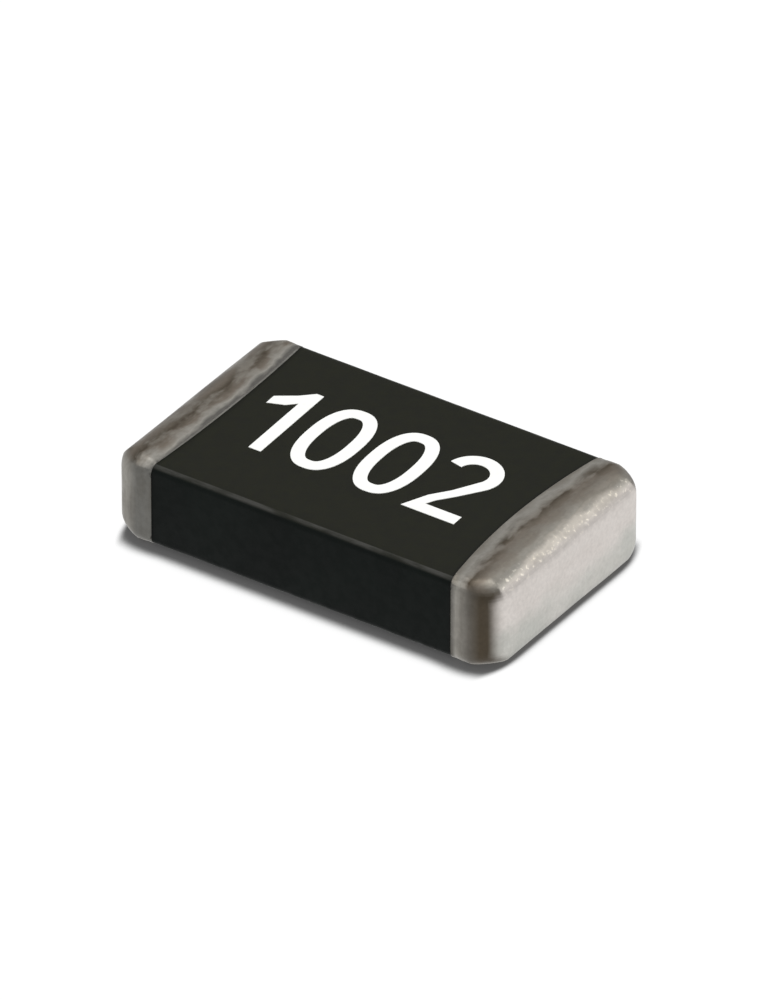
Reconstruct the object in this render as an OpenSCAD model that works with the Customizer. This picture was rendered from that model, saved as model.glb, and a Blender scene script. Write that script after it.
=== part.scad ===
// Thick-film chip resistor for surface mounting, with wrap-round terminals.
// X runs along the length, Z is up, and the origin is on the mounting plane,
// under the middle of the chip. Sizes are in millimetres.

/* [Case] */
// Length over the two terminals
case_l = 3.00; // [2.60:0.05:3.60]
// Width over the terminals
case_w = 1.79; // [1.40:0.01:2.20]
// Thickness over the terminals
case_t = 0.65; // [0.50:0.01:0.90]

/* [Terminal bands] */
// Length of the left band along the middle of the wide faces
left_band_l = 0.350; // [0.280:0.005:0.600]
// Length of the right band along the middle of the wide faces
right_band_l = 0.425; // [0.280:0.005:0.600]
// How much shorter the left band is along the long sides
left_band_bow = 0.035; // [0.010:0.005:0.120]
// How much shorter the right band is along the long sides
right_band_bow = 0.085; // [0.010:0.005:0.120]
// Radius of the upright corners of a terminal
corner_r = 0.25; // [0.22:0.01:0.30]
// Radius of the long edges of a terminal
edge_r = 0.11; // [0.08:0.01:0.12]
// Radius where the wide faces of a terminal turn down over the end
end_edge_r = 0.17; // [0.12:0.01:0.20]
// How far the terminals stand proud of the coat
land_step = 0.020; // [0.008:0.002:0.030]

/* [Terminal layers] */
// Thickness of the fired silver over the end of the ceramic
silver_end_t = 0.050; // [0.030:0.005:0.100]
// Thickness of the nickel layer
nickel_t = 0.008; // [0.004:0.001:0.014]
// Thickness of the tin layer
tin_t = 0.012; // [0.006:0.001:0.018]

/* [Ceramic plate] */
// Radius of the upright corners of the ceramic
ceramic_corner_r = 0.14; // [0.11:0.01:0.20]
// Radius of the other edges of the ceramic
ceramic_edge_r = 0.06; // [0.05:0.01:0.10]

/* [Printed layers] */
// Thickness of the printed electrodes
electrode_t = 0.010; // [0.006:0.001:0.016]
// Flat ceramic left bare round the outer sides of an electrode
electrode_inset = 0.06; // [0.03:0.01:0.12]
// How far an underside electrode reaches past its band, under the coat
underside_reach = 0.08; // [0.02:0.01:0.20]
// Thickness of the resistor film
film_t = 0.010; // [0.006:0.001:0.016]
// Flat ceramic left bare on each side of the film
film_inset = 0.16; // [0.10:0.01:0.30]
// Length of film that lies on each top electrode
film_lap = 0.11; // [0.05:0.01:0.20]
// Thickness of the glass over the highest part of the film
glass_t = 0.008; // [0.004:0.001:0.014]
// How far the glass reaches past the film all round
glass_margin = 0.04; // [0.02:0.01:0.08]
// Width of coat between the glass and the tip of a band
glass_setback = 0.04; // [0.02:0.01:0.10]

/* [Trim cut] */
// Width of the laser cut
trim_w = 0.04; // [0.02:0.01:0.08]
// Place of the cut along the chip, from the middle
trim_x = -0.30; // [-0.50:0.05:0.20]
// Depth of the cut into the film, across the chip
trim_plunge = 0.55; // [0.20:0.05:0.65]
// Length of the cut's leg along the chip
trim_run = 0.45; // [0.10:0.05:0.50]

/* [Coat] */
// Thickness of the coat over the glass
coat_cover_t = 0.014; // [0.008:0.002:0.030]
// Radius of the long edges of the coat
coat_edge_r = 0.055; // [0.040:0.005:0.090]

/* [Hidden] */
$fn = 64;
// Facets of the wide arc that ends a band
bow_fn = 360;
// Length that a cutting solid runs past what it cuts
cut_over = 0.10;

// Layers built up from the ceramic outwards
stack_t = electrode_t + film_t + glass_t;
coat_t = stack_t + coat_cover_t;
terminal_t = coat_t + land_step;
plating_t = nickel_t + tin_t;
terminal_end_t = silver_end_t + plating_t;

// Ceramic plate that is left inside the case
ceramic_l = case_l - 2 * terminal_end_t;
ceramic_w = case_w - 2 * terminal_t;
ceramic_t = case_t - 2 * terminal_t;
middle_z = case_t / 2;
ceramic_top = middle_z + ceramic_t / 2;
ceramic_bottom = middle_z - ceramic_t / 2;

// Places along the length, from each band's tip inwards
left_tip = -case_l / 2 + left_band_l;
right_tip = case_l / 2 - right_band_l;
glass_x = [left_tip + glass_setback, right_tip - glass_setback];
film_x = [glass_x[0] + glass_margin, glass_x[1] - glass_margin];
electrode_x = [film_x[0] + film_lap, film_x[1] - film_lap];
underside_x = [left_tip + underside_reach, right_tip - underside_reach];
electrode_end = ceramic_l / 2 - ceramic_edge_r - electrode_inset;

// Widths across the chip
electrode_w = ceramic_w - 2 * (ceramic_edge_r + electrode_inset);
film_w = ceramic_w - 2 * (ceramic_edge_r + film_inset);
glass_w = film_w + 2 * glass_margin;

tin_color = [0.74, 0.73, 0.70];
nickel_color = [0.62, 0.60, 0.55];
silver_color = [0.82, 0.82, 0.80];
ceramic_color = [0.93, 0.92, 0.88];
film_color = [0.22, 0.17, 0.15];
glass_color = [0.45, 0.58, 0.50];
coat_color = [0.13, 0.13, 0.12];

// Rectangle with round corners, centred
module rounded_section(w, h, r) {
    square([w - 2 * r, h], center = true);
    square([w, h - 2 * r], center = true);
    for (x = [-1, 1], y = [-1, 1])
        translate([x * (w / 2 - r), y * (h / 2 - r)])
            circle(r);
}

// Half section of a round post whose rims have radius e
module post_section(r, h, e) {
    intersection() {
        translate([0, -h / 2])
            square([r, h]);
        rounded_section(2 * r, h, e);
    }
}

// Block with upright corners of radius r and all other edges of radius e,
// with its middle at half the case thickness
module chip_block(l, w, h, r, e) {
    translate([0, 0, middle_z]) {
        rotate([90, 0, 90])
            linear_extrude(l - 2 * r, center = true)
                rounded_section(w, h, e);
        rotate([90, 0, 0])
            linear_extrude(w - 2 * r, center = true)
                rounded_section(l, h, e);
        for (turn = [0, 180])
            rotate(turn) {
                translate([l / 2 - r, w / 2 - r, 0])
                    rotate_extrude(angle = 90)
                        post_section(r, h, e);
                translate([r - l / 2, w / 2 - r, 0])
                    rotate(90)
                        rotate_extrude(angle = 90)
                            post_section(r, h, e);
            }
    }
}

// Ceramic plate, as it is fired
module ceramic_block() {
    chip_block(ceramic_l, ceramic_w, ceramic_t, ceramic_corner_r, ceramic_edge_r);
}

// Outside of the terminals, a depth below the tin's own surface
module terminal_block(depth) {
    l = case_l - 2 * depth;
    w = case_w - 2 * depth;
    h = case_t - 2 * depth;
    intersection() {
        chip_block(l, w, h, corner_r - depth, edge_r - depth);
        translate([0, 0, middle_z])
            rotate([90, 0, 0])
                linear_extrude(w + 2 * cut_over, center = true)
                    rounded_section(l, h, end_edge_r - depth);
    }
}

// Space of one terminal: a wide upright cylinder, whose rim is the band's bowed border
module band_space(side, tip, bow) {
    bow_r = (pow(case_w / 2, 2) + pow(bow, 2)) / (2 * bow);
    translate([tip + side * bow_r, 0, middle_z])
        cylinder(r = bow_r, h = case_t + 2 * cut_over, center = true, $fn = bow_fn);
}

module left_space() {
    band_space(-1, left_tip, left_band_bow);
}

module right_space() {
    band_space(1, right_tip, right_band_bow);
}

// Layer printed on top of the ceramic, between two places along the length.
// Where it cuts a later layer it is sunk into the ceramic, past the face they share.
module top_print(x0, x1, w, t, sink) {
    translate([x0, -w / 2, ceramic_top - sink])
        cube([x1 - x0, w, t + sink]);
}

// The same on the underside
module bottom_print(x0, x1, w, t, sink) {
    translate([x0, -w / 2, ceramic_bottom - t])
        cube([x1 - x0, w, t + sink]);
}

module top_pad_left(sink = 0) {
    top_print(-electrode_end, electrode_x[0], electrode_w, electrode_t, sink);
}

module top_pad_right(sink = 0) {
    top_print(electrode_x[1], electrode_end, electrode_w, electrode_t, sink);
}

module bottom_pad_left(sink = 0) {
    bottom_print(-electrode_end, underside_x[0], electrode_w, electrode_t, sink);
}

module bottom_pad_right(sink = 0) {
    bottom_print(underside_x[1], electrode_end, electrode_w, electrode_t, sink);
}

// L-shaped laser cut, which comes in over the edge of the glass
module trim_cut() {
    start_y = -glass_w / 2 - cut_over;
    end_y = -film_w / 2 + trim_plunge;
    cut_h = stack_t + cut_over;
    translate([trim_x - trim_w / 2, start_y, ceramic_top])
        cube([trim_w, end_y - start_y, cut_h]);
    translate([trim_x - trim_w / 2, end_y - trim_w, ceramic_top])
        cube([trim_w / 2 + trim_run, trim_w, cut_h]);
}

// Outside of the film, which climbs from the ceramic on to both electrodes
module film_form(sink = 0) {
    high = electrode_t + film_t;
    step_x = [electrode_x[0] + film_t, electrode_x[1] - film_t];
    translate([0, 0, ceramic_top])
        rotate([90, 0, 0])
            linear_extrude(film_w, center = true)
                polygon([
                    [film_x[0], -sink],
                    [film_x[1], -sink],
                    [film_x[1], high],
                    [step_x[1], high],
                    [step_x[1], film_t],
                    [step_x[0], film_t],
                    [step_x[0], high],
                    [film_x[0], high]
                ]);
}

// Outside of the glass, which flows level over the film
module glass_form(sink = 0) {
    top_print(glass_x[0], glass_x[1], glass_w, stack_t, sink);
}

module ceramic_substrate() {
    color(ceramic_color)
        ceramic_block();
}

module top_electrode_left() {
    color(silver_color)
        top_pad_left();
}

module top_electrode_right() {
    color(silver_color)
        top_pad_right();
}

module bottom_electrode_left() {
    color(silver_color)
        bottom_pad_left();
}

module bottom_electrode_right() {
    color(silver_color)
        bottom_pad_right();
}

module resistor_film() {
    color(film_color)
        difference() {
            film_form();
            top_pad_left(cut_over);
            top_pad_right(cut_over);
            trim_cut();
        }
}

// The film is trimmed through its glass
module glass_undercoat() {
    color(glass_color)
        difference() {
            glass_form();
            top_pad_left(cut_over);
            top_pad_right(cut_over);
            film_form(cut_over);
            trim_cut();
        }
}

// Sleeve of coat round the four long faces, which also fills the trim cut
module black_overcoat() {
    color(coat_color)
        difference() {
            translate([0, 0, middle_z])
                rotate([90, 0, 90])
                    linear_extrude(case_l, center = true)
                        rounded_section(ceramic_w + 2 * coat_t, ceramic_t + 2 * coat_t, coat_edge_r);
            ceramic_block();
            top_pad_left(cut_over);
            top_pad_right(cut_over);
            bottom_pad_left(cut_over);
            bottom_pad_right(cut_over);
            difference() {
                glass_form(cut_over);
                trim_cut();
            }
            left_space();
            right_space();
        }
}

module end_electrode_left() {
    color(silver_color)
        difference() {
            intersection() {
                terminal_block(plating_t);
                left_space();
            }
            ceramic_block();
            top_pad_left(cut_over);
            bottom_pad_left(cut_over);
        }
}

module end_electrode_right() {
    color(silver_color)
        difference() {
            intersection() {
                terminal_block(plating_t);
                right_space();
            }
            ceramic_block();
            top_pad_right(cut_over);
            bottom_pad_right(cut_over);
        }
}

module nickel_barrier_left() {
    color(nickel_color)
        difference() {
            intersection() {
                terminal_block(tin_t);
                left_space();
            }
            terminal_block(plating_t);
        }
}

module nickel_barrier_right() {
    color(nickel_color)
        difference() {
            intersection() {
                terminal_block(tin_t);
                right_space();
            }
            terminal_block(plating_t);
        }
}

module tin_plating_left() {
    color(tin_color)
        difference() {
            intersection() {
                terminal_block(0);
                left_space();
            }
            terminal_block(tin_t);
        }
}

module tin_plating_right() {
    color(tin_color)
        difference() {
            intersection() {
                terminal_block(0);
                right_space();
            }
            terminal_block(tin_t);
        }
}

ceramic_substrate();
top_electrode_left();
top_electrode_right();
bottom_electrode_left();
bottom_electrode_right();
resistor_film();
glass_undercoat();
black_overcoat();
end_electrode_left();
end_electrode_right();
nickel_barrier_left();
nickel_barrier_right();
tin_plating_left();
tin_plating_right();
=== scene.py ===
"""Looks of a surface-mount chip resistor: a black coated chip with a rounded, plated terminal at each end.

The chip lies along X with its terminals on the floor at Z = 0, and its number reads from the -Y side.
Shapes are modelled in millimetres and scaled to metres when they are finished.
"""

import math

import bmesh
import bpy
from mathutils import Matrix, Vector, noise


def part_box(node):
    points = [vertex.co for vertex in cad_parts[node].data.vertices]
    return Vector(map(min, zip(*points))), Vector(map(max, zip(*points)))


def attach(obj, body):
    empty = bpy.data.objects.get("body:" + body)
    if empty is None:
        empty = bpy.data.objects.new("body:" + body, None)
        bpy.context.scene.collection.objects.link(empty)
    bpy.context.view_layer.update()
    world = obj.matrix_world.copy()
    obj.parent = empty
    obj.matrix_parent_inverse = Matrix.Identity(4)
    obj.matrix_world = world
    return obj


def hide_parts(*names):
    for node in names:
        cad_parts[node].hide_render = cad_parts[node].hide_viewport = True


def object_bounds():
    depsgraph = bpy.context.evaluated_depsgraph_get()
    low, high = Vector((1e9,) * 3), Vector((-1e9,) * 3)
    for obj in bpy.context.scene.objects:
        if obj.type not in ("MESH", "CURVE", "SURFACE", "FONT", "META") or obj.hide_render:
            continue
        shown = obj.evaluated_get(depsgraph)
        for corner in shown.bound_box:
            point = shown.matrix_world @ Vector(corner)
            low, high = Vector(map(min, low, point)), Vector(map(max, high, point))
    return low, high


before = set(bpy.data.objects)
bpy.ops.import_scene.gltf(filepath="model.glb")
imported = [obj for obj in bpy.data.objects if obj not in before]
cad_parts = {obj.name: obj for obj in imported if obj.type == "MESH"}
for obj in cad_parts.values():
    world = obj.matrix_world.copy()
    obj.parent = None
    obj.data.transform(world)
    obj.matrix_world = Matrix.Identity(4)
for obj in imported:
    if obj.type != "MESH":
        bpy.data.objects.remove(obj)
cad_low, cad_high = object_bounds()

MM = 0.001


def box_mm(node):
    """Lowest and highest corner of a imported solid, in millimetres."""
    low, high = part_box(node)
    return low / MM, high / MM


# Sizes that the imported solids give, in millimetres
case_l, case_w, case_t = (cad_high - cad_low) / MM
coat_low, coat_high = box_mm("black_overcoat")
ceramic_low, ceramic_high = box_mm("ceramic_substrate")
pad_low, pad_high = box_mm("top_electrode_left")
under_pad_low, under_pad_high = box_mm("bottom_electrode_left")
glass_high = box_mm("glass_undercoat")[1]
left_border = box_mm("tin_plating_left")[1].x
right_border = box_mm("tin_plating_right")[0].x
tin_t = case_l / 2 - box_mm("nickel_barrier_right")[1].x
half_coat_w = (coat_high.y - coat_low.y) / 2
half_coat_t = (coat_high.z - coat_low.z) / 2
left_bow = left_border - coat_low.x
right_bow = coat_high.x - right_border

# Rounding of the terminals and of the coat
CORNER_R = 0.21
LONG_EDGE_R = 0.11
END_EDGE_R = 0.17
CORNER_TOP_R = 0.155
COAT_EDGE_R = 0.055
BORE_EDGE_R = 0.06
CORNER_STEPS = 14
EDGE_STEPS = 8

# Plated skin: its lip slopes down to the coat, and it is a little uneven all over
LIP_DROP = 0.0095
LIP_REACH = 0.085
LIP_LAP = 0.006
LIP_CURVE = 1.4
LIP_DEEPEST = 0.6
LIP_ROWS = (0.0, 0.005, 0.012)
BAND_ROW = 0.018
END_ROW = 0.012
BOW_REACH = 0.20
SKIN_WAVE = 0.0035
SKIN_WAVE_L = 0.28
SKIN_ROW = 0.045

# Coat: slightly uneven along its long sides
COAT_WAVE = 0.0025
COAT_WAVE_L = 0.22
COAT_ROW = 0.05

# Printed number
NUMBER = "1002"
DIGIT_H = 0.76
DIGIT_W = 0.41
DIGIT_STROKE = 0.095
DIGIT_PITCH = 0.486
FIRST_DIGIT_X = -1.06
BASELINE_Y = -0.333
DIGIT_LEAN = -0.03
NOUGHT_SQUARENESS = 2.4
INK_T = 0.004

# Camera: where the photograph was taken from, and how large the chip shows in it
IMAGE_W = 766
CAMERA_AZIMUTH = 34.20
CAMERA_ELEVATION = 33.66
CAMERA_DISTANCE = 140.0
PIXELS_PER_MM = 154.98
AIM_AT = Vector((0.017, 0.025, 0.326))
SENSOR_W = 36.0

# Floor: how far its close shadow reaches, and where past the chip's ends that is thinned
FLOOR_SIZE = 400.0
SHADOW_REACH = 0.17
THIN_FROM = 1.38
THIN_TO = 1.52
THIN_BY = 0.32

JOIN_GAP = 1e-5

# Tones of the tin, and where they lie across the bands: millimetres from the border. Most of these tones
# are painted light: a pale lip of painted reflection, a dark brown crest of painted shade, a painted
# highlight (BRIGHT) at the end's top edge, and side bands painted darker as shade, with a painted dark
# patch (BROWN) by the right terminal's corner
BAND_REACH = 0.45
LIP = (98, 96, 92)
PALE = (150, 147, 140)
DULL = (132, 127, 118)
FADED = (120, 112, 102)
SHADE = (102, 98, 92)
BROWN = (77, 69, 58)
SIDE_GREY = (112, 111, 107)
BRIGHT = (188, 182, 173)
# Top band ramps: the plain ones hold the band's painted light; the tarnished ones add the dark crest of
# painted shade
LEFT_TARNISH_AND_PAINTED_LIGHT = [(0.00, LIP), (0.04, PALE), (0.09, FADED), (0.16, BROWN), (0.23, FADED), (0.32, SHADE)]
LEFT_PAINTED_LIGHT = [(0.00, LIP), (0.04, PALE), (0.12, DULL), (0.24, DULL), (0.32, SHADE)]
RIGHT_TARNISH_AND_PAINTED_LIGHT = [(0.00, DULL), (0.05, PALE), (0.13, BROWN), (0.21, FADED), (0.29, DULL), (0.35, BRIGHT)]
RIGHT_PAINTED_LIGHT = [(0.00, DULL), (0.05, PALE), (0.14, FADED), (0.21, DULL), (0.30, PALE), (0.35, BRIGHT)]
# Side band ramps: painted darker as shade, the right one with a painted dark patch near its corner
LEFT_SIDE_PAINTED_LIGHT = [(0.00, SIDE_GREY), (0.10, SIDE_GREY), (0.20, PALE)]
RIGHT_SIDE_PAINTED_LIGHT = [(0.00, LIP), (0.04, PALE), (0.14, SHADE), (0.22, BROWN)]


# Shaping helpers

def smooth_step(value):
    """0 to 1 with flat ends, for a value that runs from 0 to 1."""
    value = min(1.0, max(0.0, value))
    return value * value * (3.0 - 2.0 * value)


def rounded(bm, edges, radius, steps):
    """Rounds edges to a radius."""
    bmesh.ops.bevel(bm, geom=edges, offset=radius, offset_type="OFFSET", affect="EDGES",
                    segments=steps, profile=0.5, material=-1)


def cut_rows(bm, axis, places):
    """Gives the mesh rows of points, by a plane across the axis at each place."""
    across = Vector((axis == "X", axis == "Y", axis == "Z"))
    for place in places:
        everything = bm.verts[:] + bm.edges[:] + bm.faces[:]
        bmesh.ops.bisect_plane(bm, geom=everything, dist=JOIN_GAP, plane_co=across * place, plane_no=across)


def even_rows(low, high, step):
    """Places from low to high, about a step apart, without the two ends."""
    count = max(2, round((high - low) / step))
    return [low + (high - low) * i / count for i in range(1, count)]


def block(bm, low, high):
    """A plain block between two corners. Returns its edges."""
    low, high = Vector(low), Vector(high)
    corners = bmesh.ops.create_cube(bm, size=1.0)["verts"]
    bmesh.ops.scale(bm, vec=high - low, verts=corners)
    bmesh.ops.translate(bm, vec=(low + high) / 2, verts=corners)
    return list(dict.fromkeys(edge for corner in corners for edge in corner.link_edges))


def runs_along(edge, axis):
    """True if an edge of a plain block runs along an axis."""
    first, second = edge.verts
    return abs((second.co - first.co).normalized()[axis]) > 0.99


def finished(bm, name, finish, nodes=(), flat=False):
    """Makes the piece, in metres, hangs it on the root body and hides the imported solids that it stands in
    for.
    """
    for face in bm.faces:
        face.smooth = not flat
    bmesh.ops.scale(bm, vec=(MM, MM, MM), verts=bm.verts)
    mesh = bpy.data.meshes.new(name)
    bm.to_mesh(mesh)
    bm.free()
    mesh.materials.append(finish)
    piece = bpy.data.objects.new(name, mesh)
    bpy.context.scene.collection.objects.link(piece)
    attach(piece, "root")
    for node in nodes:
        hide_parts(node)


def above_coat(point):
    """How far a point stands off the coat's plain outside."""
    out_y = abs(point.y) - half_coat_w + COAT_EDGE_R
    out_z = abs(point.z - case_t / 2) - half_coat_t + COAT_EDGE_R
    return math.hypot(max(out_y, 0), max(out_z, 0)) + min(max(out_y, out_z), 0) - COAT_EDGE_R


# The borders between coat and terminals are shallow arcs, furthest in at the middle of the width

def border_bow(side, y):
    """How far the border has drawn back towards its end, at a place across the width."""
    bow = right_bow if side > 0 else left_bow
    return side * bow * (y / half_coat_w) ** 2


def unevenness(point, wave_l):
    """A smooth random value from 0 to 1 that changes over about a wave length."""
    return 0.5 + 0.5 * noise.noise(point / wave_l)


# Terminals

def round_top_edge(vert):
    """Moves a point that stands outside the wide round of an end's top edge on to it."""
    out_x = abs(vert.co.x) - (case_l / 2 - END_EDGE_R)
    out_z = vert.co.z - (case_t - END_EDGE_R)
    reach = math.hypot(out_x, out_z)
    if out_x > 0 and out_z > 0 and reach > END_EDGE_R:
        inward = 1 - END_EDGE_R / reach
        vert.co.x -= math.copysign(out_x * inward, vert.co.x)
        vert.co.z -= out_z * inward


def round_corner(vert):
    """Moves a point at an upright corner's top or bottom on to a round that is widest at 45 degrees."""
    out_x = abs(vert.co.x) - (case_l / 2 - CORNER_R)
    out_y = abs(vert.co.y) - (case_w / 2 - CORNER_R)
    if out_x <= 0 or out_y <= 0:
        return
    out = math.hypot(out_x, out_y)
    radius = LONG_EDGE_R + (CORNER_TOP_R - LONG_EDGE_R) * 2 * out_x * out_y / out ** 2
    over = out - (CORNER_R - radius)
    out_z = abs(vert.co.z - case_t / 2) - (case_t / 2 - radius)
    reach = math.hypot(over, out_z)
    if over > 0 and out_z > 0 and reach > radius:
        inward = 1 - radius / reach
        vert.co.x -= math.copysign(out_x / out * over * inward, vert.co.x)
        vert.co.y -= math.copysign(out_y / out * over * inward, vert.co.y)
        vert.co.z -= math.copysign(out_z * inward, vert.co.z - case_t / 2)


def plated_skin(side, border):
    """One terminal's plated skin: a cup over the chip's end, rounded all over, with a feathered lip."""
    bm = bmesh.new()
    edges = block(bm, (-case_l / 2, -case_w / 2, 0), (case_l / 2, case_w / 2, case_t))
    rounded(bm, [edge for edge in edges if runs_along(edge, 2)], CORNER_R, CORNER_STEPS)
    rims = [edge for edge in bm.edges if not runs_along(edge, 2)]
    rounded(bm, rims, LONG_EDGE_R, EDGE_STEPS)
    everything = bm.verts[:] + bm.edges[:] + bm.faces[:]
    bmesh.ops.bisect_plane(bm, geom=everything, dist=JOIN_GAP, plane_co=(border - side * LIP_LAP, 0, 0),
                           plane_no=(side, 0, 0), clear_inner=True)
    end_rounding = case_l / 2 - END_EDGE_R
    cut_rows(bm, "X", [border + side * reach for reach in LIP_ROWS])
    cut_rows(bm, "X", [side * x for x in even_rows(abs(border) + LIP_ROWS[-1], end_rounding, BAND_ROW)])
    cut_rows(bm, "X", [side * x for x in even_rows(end_rounding, case_l / 2 - LONG_EDGE_R, END_ROW)])
    cut_rows(bm, "Y", even_rows(-case_w / 2, case_w / 2, SKIN_ROW))
    cut_rows(bm, "Z", even_rows(0, case_t, SKIN_ROW / 2))

    from_border = bm.verts.layers.float.new("from_border")
    for vert in bm.verts:
        round_corner(vert)
        round_top_edge(vert)
        reach = side * (vert.co.x - border)
        vert.co.x += border_bow(side, vert.co.y) * (1 - smooth_step(reach / BOW_REACH))
        vert[from_border] = side * (vert.co.x - border - border_bow(side, vert.co.y))

    bm.normal_update()
    outer = bm.verts[:]
    copy = bmesh.ops.duplicate(bm, geom=outer + bm.edges[:] + bm.faces[:])
    inner = [copy["vert_map"][vert] for vert in outer]
    inner_faces = [piece for piece in copy["geom"] if isinstance(piece, bmesh.types.BMFace)]
    normals = [vert.normal.copy() for vert in outer]
    for vert, lining, normal in zip(outer, inner, normals):
        room = above_coat(vert.co)
        slope = max(0.0, 1 - vert[from_border] / LIP_REACH)
        if slope > 1.01:
            drop = room
            lining.co = vert.co - normal * (room + LIP_LAP / 6)
        else:
            wave = SKIN_WAVE * unevenness(vert.co, SKIN_WAVE_L) * (1 - 0.8 * slope)
            drop = max(0.0, min(LIP_DROP * slope ** LIP_CURVE, LIP_DEEPEST * room)) + wave
            lining.co = vert.co - normal * tin_t
        vert.co = vert.co - normal * drop
    bmesh.ops.reverse_faces(bm, faces=inner_faces)
    lip = [edge for edge in bm.edges if edge.is_boundary]
    bmesh.ops.bridge_loops(bm, edges=lip)
    for edge in lip:
        edge.smooth = False
    return bm


# Coat

def open_ended(bm):
    """Takes the end faces off a block that runs along X, so that it is a tube."""
    bm.normal_update()
    ends = [face for face in bm.faces if abs(face.normal.x) > 0.99]
    bmesh.ops.delete(bm, geom=ends, context="FACES")


def pull_strip(bm, half_width, faces_up, height):
    """Pulls a strip along the middle of a block's top or underside out by a height."""
    up = 1 if faces_up else -1
    bm.normal_update()
    strip = [face for face in bm.faces
             if face.normal.z * up > 0.99 and abs(face.calc_center_median().y) < half_width]
    pulled = bmesh.ops.extrude_face_region(bm, geom=strip)["geom"]
    moved = [piece for piece in pulled if isinstance(piece, bmesh.types.BMVert)]
    bmesh.ops.translate(bm, vec=(0, 0, up * height), verts=moved)
    bmesh.ops.delete(bm, geom=[face for face in strip if face.is_valid], context="FACES")


def coat_sleeve():
    """The black coat: a sleeve round the ceramic, hollowed where it covers the printed layers."""
    bm = bmesh.new()
    edges = block(bm, (left_border, ceramic_low.y, ceramic_low.z),
                  (right_border, ceramic_high.y, ceramic_high.z))
    rounded(bm, [edge for edge in edges if runs_along(edge, 0)], BORE_EDGE_R, EDGE_STEPS)
    cut_rows(bm, "Y", [pad_low.y, pad_high.y])
    pull_strip(bm, pad_high.y, True, glass_high.z - ceramic_high.z)
    pull_strip(bm, under_pad_high.y, False, ceramic_low.z - under_pad_low.z)
    bore = bm.faces[:]
    bmesh.ops.reverse_faces(bm, faces=bore)

    edges = block(bm, (left_border, coat_low.y, coat_low.z), (right_border, coat_high.y, coat_high.z))
    rounded(bm, [edge for edge in edges if runs_along(edge, 0)], COAT_EDGE_R, EDGE_STEPS)
    open_ended(bm)
    cut_rows(bm, "X", even_rows(left_border, right_border, COAT_ROW))
    cut_rows(bm, "Y", even_rows(coat_low.y, coat_high.y, COAT_ROW))

    middle = (left_border + right_border) / 2
    from_border = bm.verts.layers.float.new("from_border")
    bm.normal_update()
    at_sides = {vert: vert.normal.copy() for vert in bm.verts
                if abs(vert.co.y) - ceramic_high.y > -JOIN_GAP}
    for vert in bm.verts:
        side = 1 if vert.co.x > middle else -1
        border = right_border if side > 0 else left_border
        reach = side * (border - vert.co.x)
        vert.co.x += border_bow(side, vert.co.y) * (1 - smooth_step(reach / BOW_REACH))
        vert[from_border] = side * (border + border_bow(side, vert.co.y) - vert.co.x)
    for vert, normal in at_sides.items():
        vert.co -= normal * COAT_WAVE * unevenness(vert.co, COAT_WAVE_L)
    for side in (-1, 1):
        rims = [edge for edge in bm.edges
                if edge.is_boundary and side * (edge.verts[0].co.x - middle) > 0]
        bmesh.ops.bridge_loops(bm, edges=rims)
        for edge in rims:
            edge.smooth = False
    return bm


# Printed number. Each digit is drawn flat with its foot at the origin, then gets the ink's thickness

def draw_nought(bm):
    """A tall ring of even stroke, slightly squared."""
    ring = bmesh.ops.create_circle(bm, cap_ends=True, segments=64, radius=1.0)["verts"]
    for vert in ring:
        powers = [abs(part) ** NOUGHT_SQUARENESS for part in vert.co.to_2d()]
        vert.co /= sum(powers) ** (1 / NOUGHT_SQUARENESS)
    bmesh.ops.scale(bm, vec=(DIGIT_W / 2, DIGIT_H / 2, 1), verts=ring)
    bmesh.ops.translate(bm, vec=(DIGIT_W / 2, DIGIT_H / 2, 0), verts=ring)
    disc = ring[0].link_faces[0]
    bmesh.ops.inset_region(bm, faces=[disc], thickness=DIGIT_STROKE, use_even_offset=True,
                           use_boundary=True)
    bmesh.ops.delete(bm, geom=[disc], context="FACES")


def draw_one(bm):
    """An upright stem with a flag that falls to the left of its top."""
    stem = DIGIT_W * 0.66
    flag_tip = stem - DIGIT_W * 0.45
    outline = [(stem, 0), (stem + DIGIT_STROKE, 0), (stem + DIGIT_STROKE, DIGIT_H),
               (stem + DIGIT_STROKE * 0.42, DIGIT_H), (stem - DIGIT_W * 0.12, DIGIT_H * 0.89),
               (flag_tip, DIGIT_H * 0.77), (flag_tip, DIGIT_H * 0.65),
               (stem - DIGIT_W * 0.16, DIGIT_H * 0.71), (stem, DIGIT_H * 0.79)]
    bm.faces.new([bm.verts.new((x, y, 0)) for x, y in outline])


def pull_stroke(bm, edge, first, second):
    """Carries a pen stroke on to two points. Returns the edge that it now ends in."""
    made = bmesh.ops.extrude_edge_only(bm, edges=[edge])["geom"]
    ends = [piece for piece in made if isinstance(piece, bmesh.types.BMVert)]
    ahead = [piece for piece in made if isinstance(piece, bmesh.types.BMEdge)
             and all(vert in ends for vert in piece.verts)][0]
    for vert in ends:
        came_from = [link.other_vert(vert) for link in vert.link_edges if link is not ahead][0]
        vert.co = Vector((*(first if came_from is edge.verts[0] else second), 0))
    return ahead


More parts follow.
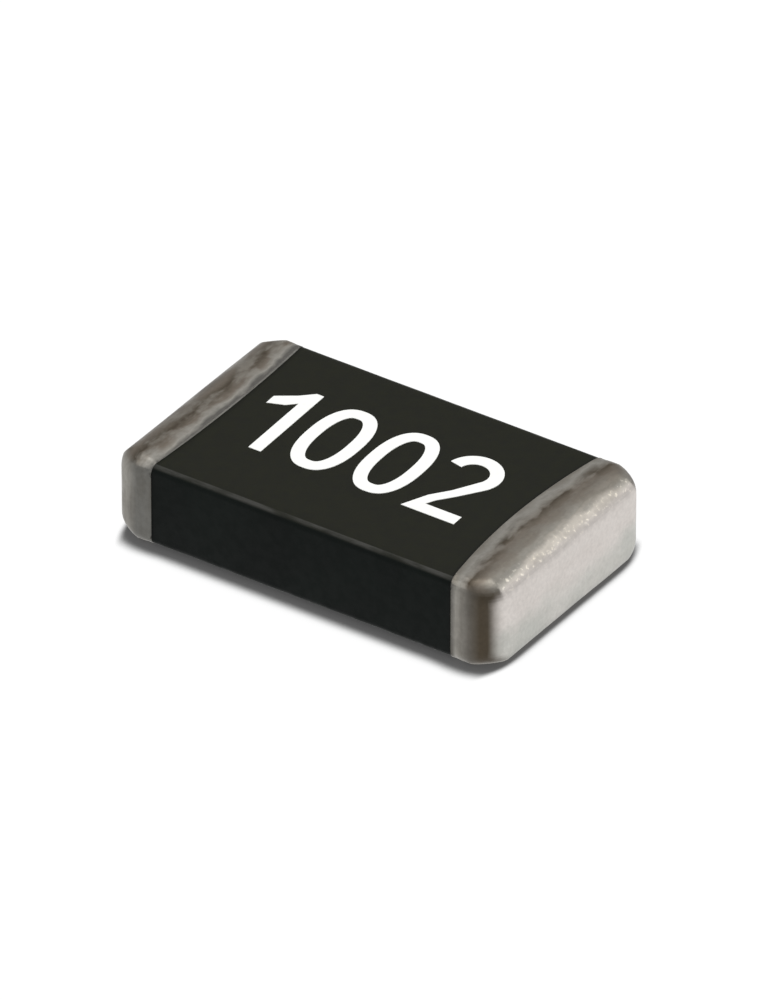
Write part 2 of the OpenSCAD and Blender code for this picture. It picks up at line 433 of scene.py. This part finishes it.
def draw_two(bm):
    """A round head that turns into a slanting stroke and a straight foot."""
    radius = DIGIT_W / 2
    centre = Vector((radius, DIGIT_H - radius, 0))
    start = math.radians(168)
    turn = math.radians(205)
    outward = Vector((math.cos(start), math.sin(start), 0))
    outer = bm.verts.new(centre + outward * radius)
    inner = bm.verts.new(centre + outward * (radius - DIGIT_STROKE))
    nib = bm.edges.new((outer, inner))
    swept = bmesh.ops.spin(bm, geom=[nib, outer, inner], cent=centre, axis=(0, 0, 1), angle=-turn, steps=28)
    last = [piece for piece in swept["geom_last"] if isinstance(piece, bmesh.types.BMEdge)][0]
    far = sorted(last.verts, key=lambda vert: (vert.co - centre).length)
    flip = last.verts[0] is far[0]
    slant = [((DIGIT_W * 0.62, DIGIT_H * 0.36), (DIGIT_W * 0.47, DIGIT_H * 0.42)),
             ((DIGIT_W * 0.40, DIGIT_H * 0.215), (DIGIT_W * 0.22, DIGIT_H * 0.25)),
             ((DIGIT_W * 0.315, DIGIT_STROKE), (0.0, 0.0)),
             ((DIGIT_W, DIGIT_STROKE), (DIGIT_W, 0.0))]
    for lower_side, upper_side in slant:
        pair = (upper_side, lower_side) if flip else (lower_side, upper_side)
        ahead = pull_stroke(bm, last, *pair)
        flip = (ahead.verts[0].co.to_2d() - Vector(upper_side)).length < JOIN_GAP
        last = ahead


DRAWN = {"0": draw_nought, "1": draw_one, "2": draw_two}


def printed_number():
    """The number on the coat, in ink of an even thickness."""
    bm = bmesh.new()
    for place, digit in enumerate(NUMBER):
        before = set(bm.verts)
        DRAWN[digit](bm)
        drawn = [vert for vert in bm.verts if vert not in before]
        bmesh.ops.translate(bm, vec=(FIRST_DIGIT_X + DIGIT_PITCH * place, 0, 0), verts=drawn)
    bmesh.ops.recalc_face_normals(bm, faces=bm.faces)
    for face in bm.faces:
        if face.normal.z < 0:
            face.normal_flip()
    for vert in bm.verts:
        vert.co.x += vert.co.y * DIGIT_LEAN
    bmesh.ops.translate(bm, vec=(0, BASELINE_Y, coat_high.z - COAT_WAVE), verts=bm.verts)
    bmesh.ops.solidify(bm, geom=bm.faces[:], thickness=-INK_T - COAT_WAVE)
    bmesh.ops.recalc_face_normals(bm, faces=bm.faces)
    return bm


# Finishes

def display_colour(red, green, blue):
    """The colour that shows as these values from 0 to 255."""
    levels = [value / 255 for value in (red, green, blue)]
    linear = [level / 12.92 if level <= 0.04045 else ((level + 0.055) / 1.055) ** 2.4 for level in levels]
    return (*linear, 1.0)


def add_node(tree, kind, inputs=None, **settings):
    """Adds a shader node. An input that is a socket is linked, and any other is set."""
    made = tree.nodes.new(kind)
    for name, value in settings.items():
        setattr(made, name, value)
    for key, value in (inputs or {}).items():
        if isinstance(value, bpy.types.NodeSocket):
            tree.links.new(value, made.inputs[key])
        else:
            made.inputs[key].default_value = value
    return made


def calc(tree, operation, first, second=0.0):
    """One sum on two values."""
    return add_node(tree, "ShaderNodeMath", {0: first, 1: second}, operation=operation).outputs[0]


def ease(tree, value, low, high, to_low=0.0, to_high=1.0):
    """Eases a value from one range into another."""
    inputs = {"Value": value, "From Min": low, "From Max": high, "To Min": to_low, "To Max": to_high}
    return add_node(tree, "ShaderNodeMapRange", inputs, interpolation_type="SMOOTHSTEP").outputs["Result"]


def blend(tree, factor, first, second, how="MIX"):
    """Mixes two colours."""
    inputs = {0: factor, 6: first, 7: second}
    mixer = add_node(tree, "ShaderNodeMix", inputs, data_type="RGBA", blend_type=how)
    return mixer.outputs[2]


def shades(tree, value, stops):
    """A run of colours along a value from 0 to 1."""
    ramp = add_node(tree, "ShaderNodeValToRGB", {"Fac": value})
    bands = ramp.color_ramp.elements
    while len(bands) < len(stops):
        bands.new(0.5)
    for band, (place, colour) in zip(bands, stops):
        band.position = place
        band.color = colour
    return ramp.outputs["Color"]


def clouds(tree, place, size, detail=3.0, roughness=0.55):
    """Soft random patches of about a size in millimetres."""
    inputs = {"Vector": place, "Scale": 1 / size, "Detail": detail, "Roughness": roughness}
    return add_node(tree, "ShaderNodeTexNoise", inputs).outputs["Fac"]


def place_in_mm(tree, stretch=(1, 1, 1)):
    """The place on the chip in millimetres, drawn out along an axis where stretch is over 1."""
    place = add_node(tree, "ShaderNodeTexCoord").outputs["Object"]
    scale = [1 / (MM * times) for times in stretch]
    return add_node(tree, "ShaderNodeMapping", {"Vector": place, "Scale": scale}).outputs["Vector"]


def facing(tree):
    """How far the surface faces along X, Y and Z, whichever way."""
    normal = add_node(tree, "ShaderNodeNewGeometry").outputs["Normal"]
    parts = add_node(tree, "ShaderNodeSeparateXYZ", {0: normal}).outputs
    return [calc(tree, "ABSOLUTE", part) for part in parts]


def new_finish(name, **settings):
    """A node material, the tree that it is made in and its surface shader, with the even settings set."""
    finish = bpy.data.materials.new(name)
    finish.use_nodes = True
    tree = finish.node_tree
    surface = tree.nodes["Principled BSDF"]
    for socket, value in settings.items():
        surface.inputs[socket.replace("_", " ")].default_value = value
    return finish, tree, surface


def relief(tree, surface, height, depth_mm, strength=1.0):
    """Gives the surface fine relief of a depth in millimetres."""
    inputs = {"Height": height, "Distance": depth_mm * MM, "Strength": strength}
    bump = add_node(tree, "ShaderNodeBump", inputs)
    tree.links.new(bump.outputs["Normal"], surface.inputs["Normal"])


def across_band(tree, reach, stops):
    """Colours across a band, from its border, at places in millimetres."""
    part = calc(tree, "DIVIDE", reach, BAND_REACH)
    return shades(tree, part, [(place / BAND_REACH, display_colour(*colour)) for place, colour in stops])


def tin_plate(name, tarnish_and_shading, plain, side, low_end, high_end, painted_glints):
    """Satin tin with painted light: across each band the tones follow the band's reflections, with a dark
    crest of painted shade made blotchy by tarnish; the end has its own tones, painted lighter than the
    sides as if lit, with painted shade at its foot and painted glints along its far rim.
    """
    finish, tree, surface = new_finish(name, Metallic=1.0)
    place = place_in_mm(tree)
    along_width = place_in_mm(tree, stretch=(1, 2.5, 1))
    down_side = place_in_mm(tree, stretch=(1, 1, 6))
    face_x, _, face_z = facing(tree)
    blotch = clouds(tree, along_width, 0.11)
    speck = clouds(tree, place, 0.03)
    streak = clouds(tree, down_side, 0.06)
    broad = clouds(tree, place, 0.45)
    height = add_node(tree, "ShaderNodeSeparateXYZ", {0: place}).outputs["Z"]
    reach = add_node(tree, "ShaderNodeAttribute", attribute_name="from_border").outputs["Fac"]

    # The band tones are painted light; random blotches darken the crest's painted shade further where
    # tarnished
    wandering_reach = calc(tree, "ADD", reach, ease(tree, blotch, 0.25, 0.75, -0.03, 0.03))
    tarnish_and_crest_shade = ease(tree, blotch, 0.38, 0.58)
    plain_land = across_band(tree, wandering_reach, plain)
    tarnished_shaded_land = across_band(tree, wandering_reach, tarnish_and_shading)
    land = blend(tree, tarnish_and_crest_shade, plain_land, tarnished_shaded_land)
    smooth_side = across_band(tree, reach, side)
    streaks = ease(tree, streak, 0.4, 0.75, 0.0, 0.35)
    streaked_side = blend(tree, streaks, smooth_side, display_colour(84, 79, 71))
    low_line = calc(tree, "ADD", height, ease(tree, broad, 0.3, 0.7, -0.06, 0.06))
    # The end faces are painted lighter than the side bands, as if lit: low_end and high_end are painted
    # light, lower and upper
    end = blend(tree, ease(tree, low_line, 0.20, 0.40), display_colour(*low_end), display_colour(*high_end))
    # Painted shade at the end's foot, darker towards the floor
    end_with_painted_foot_shade = blend(tree, ease(tree, height, 0.06, 0.13, 0.22, 0.0), end, display_colour(90, 89, 86))
    # The painted-lit end, lighter in random patches
    painted_lit_end = blend(tree, ease(tree, broad, 0.4, 0.7, 0.0, 0.35), end_with_painted_foot_shade, display_colour(*high_end))

    lands = blend(tree, ease(tree, face_z, 0.45, 0.85), streaked_side, land)
    on_end = calc(tree, "MULTIPLY", ease(tree, face_x, 0.60, 0.97), ease(tree, reach, 0.04, 0.10))
    whole = blend(tree, on_end, lands, painted_lit_end)
    # Painted glints: bright cream specks along the far rim of the end's top edge
    rim = ease(tree, calc(tree, "MULTIPLY", face_x, face_z), 0.34, 0.48)
    far_rim = calc(tree, "MULTIPLY", rim, ease(tree, reach, 0.15, 0.25))
    painted_glint = calc(tree, "MULTIPLY", far_rim, ease(tree, speck, 0.57, 0.68, 0.0, painted_glints))
    with_painted_glints = blend(tree, painted_glint, whole, display_colour(250, 243, 226))
    grain = ease(tree, speck, 0.2, 0.8, 0.93, 1.07)
    tone = add_node(tree, "ShaderNodeCombineColor", {0: grain, 1: grain, 2: grain}).outputs[0]
    tree.links.new(blend(tree, 1.0, with_painted_glints, tone, "MULTIPLY"), surface.inputs["Base Color"])
    tree.links.new(ease(tree, blotch, 0.3, 0.7, 0.38, 0.52), surface.inputs["Roughness"])
    bumps = calc(tree, "ADD", speck, calc(tree, "MULTIPLY", blotch, 2.0))
    off_end = ease(tree, face_x, 0.5, 0.9, 1.0, 0.25)
    relief(tree, surface, calc(tree, "MULTIPLY", bumps, off_end), 0.003, 0.4)
    return finish


def black_coat():
    """Black coat, warmer on the printed top than on the sides, with the sides also painted darker as shade,
    painted shade along its borders with the terminals, and a painted highlight where it turns down to the
    long sides.
    """
    finish, tree, surface = new_finish("black_coat", Specular_IOR_Level=0.10)
    place = place_in_mm(tree)
    along_edge = place_in_mm(tree, stretch=(4, 1, 1))
    _, face_y, face_z = facing(tree)
    mottle = clouds(tree, place, 0.06)
    broad = clouds(tree, place, 0.5)
    highlight_patches = clouds(tree, along_edge, 0.07)
    reach = add_node(tree, "ShaderNodeAttribute", attribute_name="from_border").outputs["Fac"]

    # Top warm black; sides a cooler black that is also painted darker as shade
    top = blend(tree, ease(tree, mottle, 0.3, 0.7), display_colour(21, 22, 13), display_colour(29, 30, 20))
    side = blend(tree, ease(tree, broad, 0.3, 0.7), display_colour(4, 9, 7), display_colour(8, 15, 12))
    body = blend(tree, ease(tree, face_z, 0.55, 0.92), side, top)
    # Painted shade along the borders with the terminals, darkest at the border
    shaded_at_borders = blend(tree, ease(tree, reach, 0.0, 0.04, 0.6, 0.0), body, display_colour(5, 6, 4))
    # Painted highlight along the long edges, where the coat turns down, broken into patches along the edge
    off_top = ease(tree, face_y, 0.10, 0.30)
    off_side = ease(tree, face_y, 0.50, 0.82, 1.0, 0.0)
    turning = calc(tree, "MULTIPLY", off_top, off_side)
    painted_edge_highlight = calc(tree, "MULTIPLY", turning, ease(tree, highlight_patches, 0.3, 0.65, 0.25, 1.0))
    whole = blend(tree, painted_edge_highlight, shaded_at_borders, display_colour(66, 66, 63))
    tree.links.new(whole, surface.inputs["Base Color"])
    tree.links.new(ease(tree, mottle, 0.3, 0.7, 0.50, 0.62), surface.inputs["Roughness"])
    relief(tree, surface, mottle, 0.003, 0.35)
    return finish


def white_ink():
    """Matt white marking ink, faintly uneven."""
    finish, tree, surface = new_finish("white_ink", Roughness=0.6, Specular_IOR_Level=0.3)
    mottle = clouds(tree, place_in_mm(tree), 0.03)
    patches = ease(tree, mottle, 0.3, 0.7)
    colour = blend(tree, patches, display_colour(252, 253, 249), display_colour(255, 255, 253))
    tree.links.new(colour, surface.inputs["Base Color"])
    return finish


def mottled(name, size, dark, light, **settings):
    """An inner layer's plain finish: two near shades in patches of a size, with slight relief."""
    finish, tree, surface = new_finish(name, **settings)
    patches = clouds(tree, place_in_mm(tree), size)
    colour = blend(tree, ease(tree, patches, 0.3, 0.7), display_colour(*dark), display_colour(*light))
    tree.links.new(colour, surface.inputs["Base Color"])
    relief(tree, surface, patches, size * 0.05, 0.4)
    return finish


def dress(finish, *nodes):
    """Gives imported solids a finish."""
    for node in nodes:
        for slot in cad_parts[node].material_slots:
            slot.material = finish


# Stage

def white_floor():
    """White paper: it shows the chip's close shadow and nothing else."""
    finish = bpy.data.materials.new("white_floor")
    finish.use_nodes = True
    tree = finish.node_tree
    tree.nodes.clear()
    paper = add_node(tree, "ShaderNodeBsdfDiffuse", {"Color": (0.80, 0.80, 0.80, 1)})
    seen_paper = add_node(tree, "ShaderNodeBsdfDiffuse", {"Color": (0.10, 0.10, 0.10, 1)})
    open_sky = add_node(tree, "ShaderNodeAmbientOcclusion", {"Distance": SHADOW_REACH * MM}, samples=24)
    along = add_node(tree, "ShaderNodeSeparateXYZ", {0: place_in_mm(tree)}).outputs["X"]
    past_end = ease(tree, calc(tree, "ABSOLUTE", along), THIN_FROM, THIN_TO, 0.0, THIN_BY)
    open_part = calc(tree, "ADD", open_sky.outputs["AO"], past_end)
    lit = ease(tree, open_part, 0.58, 0.95, 0.06, 0.94)
    white = add_node(tree, "ShaderNodeEmission", {"Color": (1, 1, 1, 1), "Strength": lit})
    shown = add_node(tree, "ShaderNodeAddShader", {0: seen_paper.outputs[0], 1: white.outputs[0]})
    mirrored = add_node(tree, "ShaderNodeEmission", {"Color": (1, 1, 1, 1), "Strength": 0.95})
    path = add_node(tree, "ShaderNodeLightPath").outputs
    bright = add_node(tree, "ShaderNodeMixShader",
                      {0: path["Is Glossy Ray"], 1: paper.outputs[0], 2: mirrored.outputs[0]})
    surface = add_node(tree, "ShaderNodeMixShader",
                       {0: path["Is Camera Ray"], 1: bright.outputs[0], 2: shown.outputs[0]})
    add_node(tree, "ShaderNodeOutputMaterial", {"Surface": surface.outputs[0]})
    return finish


def lay_floor():
    """A large flat floor just under the terminals."""
    bm = bmesh.new()
    bmesh.ops.create_grid(bm, x_segments=4, y_segments=4, size=FLOOR_SIZE / 2 * MM)
    bmesh.ops.translate(bm, vec=(0, 0, -JOIN_GAP * MM), verts=bm.verts)
    mesh = bpy.data.meshes.new("floor")
    bm.to_mesh(mesh)
    bm.free()
    mesh.materials.append(white_floor())
    floor = bpy.data.objects.new("floor", mesh)
    bpy.context.scene.collection.objects.link(floor)


def softbox(name, direction, distance, size, radiance):
    """A square soft light that faces the chip."""
    lamp = bpy.data.lights.new(name, "AREA")
    lamp.size = size * MM
    lamp.energy = radiance * math.pi * (size * MM) ** 2
    box = bpy.data.objects.new(name, lamp)
    towards = Vector(direction).normalized()
    box.location = towards * distance * MM
    box.rotation_euler = towards.to_track_quat("Z", "Y").to_euler()
    bpy.context.scene.collection.objects.link(box)


def studio_light():
    """Even white surroundings, a softbox overhead and one on each side of the camera."""
    world = bpy.data.worlds.new("studio")
    bpy.context.scene.world = world
    world.use_nodes = True
    tree = world.node_tree
    path = add_node(tree, "ShaderNodeLightPath").outputs
    strength = ease(tree, path["Is Camera Ray"], 0.0, 1.0, 0.66, 1.0)
    background = tree.nodes["Background"]
    background.inputs["Color"].default_value = (1, 1, 1, 1)
    tree.links.new(strength, background.inputs["Strength"])
    softbox("overhead", (-0.1, 0.25, 1.0), 90, 60, 2.1)
    softbox("back_right", (0.55, 0.69, 0.50), 80, 36, 2.0)
    softbox("front_left", (-0.47, -0.55, 0.69), 80, 36, 1.6)


def aim_camera():
    """A long lens at the photograph's angle, so that the chip shows nearly without perspective."""
    azimuth = math.radians(CAMERA_AZIMUTH)
    elevation = math.radians(CAMERA_ELEVATION)
    back = Vector((math.sin(azimuth) * math.cos(elevation), -math.cos(azimuth) * math.cos(elevation),
                   math.sin(elevation)))
    lens = bpy.data.cameras.new("camera")
    lens.sensor_fit = "HORIZONTAL"
    lens.sensor_width = SENSOR_W
    lens.lens = SENSOR_W * CAMERA_DISTANCE / (IMAGE_W / PIXELS_PER_MM)
    lens.clip_start = 10 * MM
    lens.clip_end = 1000 * MM
    camera = bpy.data.objects.new("camera", lens)
    camera.location = (AIM_AT + back * CAMERA_DISTANCE) * MM
    camera.rotation_euler = back.to_track_quat("Z", "Y").to_euler()
    bpy.context.scene.collection.objects.link(camera)
    bpy.context.scene.camera = camera


bpy.context.scene.view_settings.view_transform = "Standard"
aim_camera()
studio_light()
lay_floor()

# Two copies of one tin, painted for how the light falls: the right one painted lit, with a bright end and
# glints, the left one painted in shade, with a darker end
left_tin_painted_shaded = tin_plate("left_tin_painted_shaded", LEFT_TARNISH_AND_PAINTED_LIGHT, LEFT_PAINTED_LIGHT, LEFT_SIDE_PAINTED_LIGHT,
                     low_end=(156, 154, 149), high_end=(142, 139, 133), painted_glints=0.0)
right_tin_painted_lit = tin_plate("right_tin_painted_lit", RIGHT_TARNISH_AND_PAINTED_LIGHT, RIGHT_PAINTED_LIGHT, RIGHT_SIDE_PAINTED_LIGHT,
                      low_end=(194, 194, 188), high_end=(217, 211, 206), painted_glints=0.35)
finished(plated_skin(-1, left_border), "left_terminal_skin", left_tin_painted_shaded, ["tin_plating_left"])
finished(plated_skin(1, right_border), "right_terminal_skin", right_tin_painted_lit, ["tin_plating_right"])
finished(coat_sleeve(), "coat_sleeve", black_coat(), ["black_overcoat"])
finished(printed_number(), "printed_number", white_ink(), flat=True)

alumina = mottled("alumina", 0.05, (232, 229, 219), (242, 240, 232), Roughness=0.7)
fired_silver = mottled("fired_silver", 0.03, (192, 190, 185), (214, 212, 207), Roughness=0.45, Metallic=1.0)
nickel = mottled("nickel", 0.02, (158, 152, 138), (176, 170, 157), Roughness=0.35, Metallic=1.0)
film = mottled("resistor_film", 0.03, (44, 34, 30), (66, 54, 48), Roughness=0.6)
glass = mottled("undercoat_glass", 0.08, (98, 128, 112), (120, 150, 133), Roughness=0.2)
dress(alumina, "ceramic_substrate")
dress(fired_silver, "top_electrode_left", "top_electrode_right", "bottom_electrode_left",
      "bottom_electrode_right", "end_electrode_left", "end_electrode_right")
dress(nickel, "nickel_barrier_left", "nickel_barrier_right")
dress(film, "resistor_film")
dress(glass, "glass_undercoat")
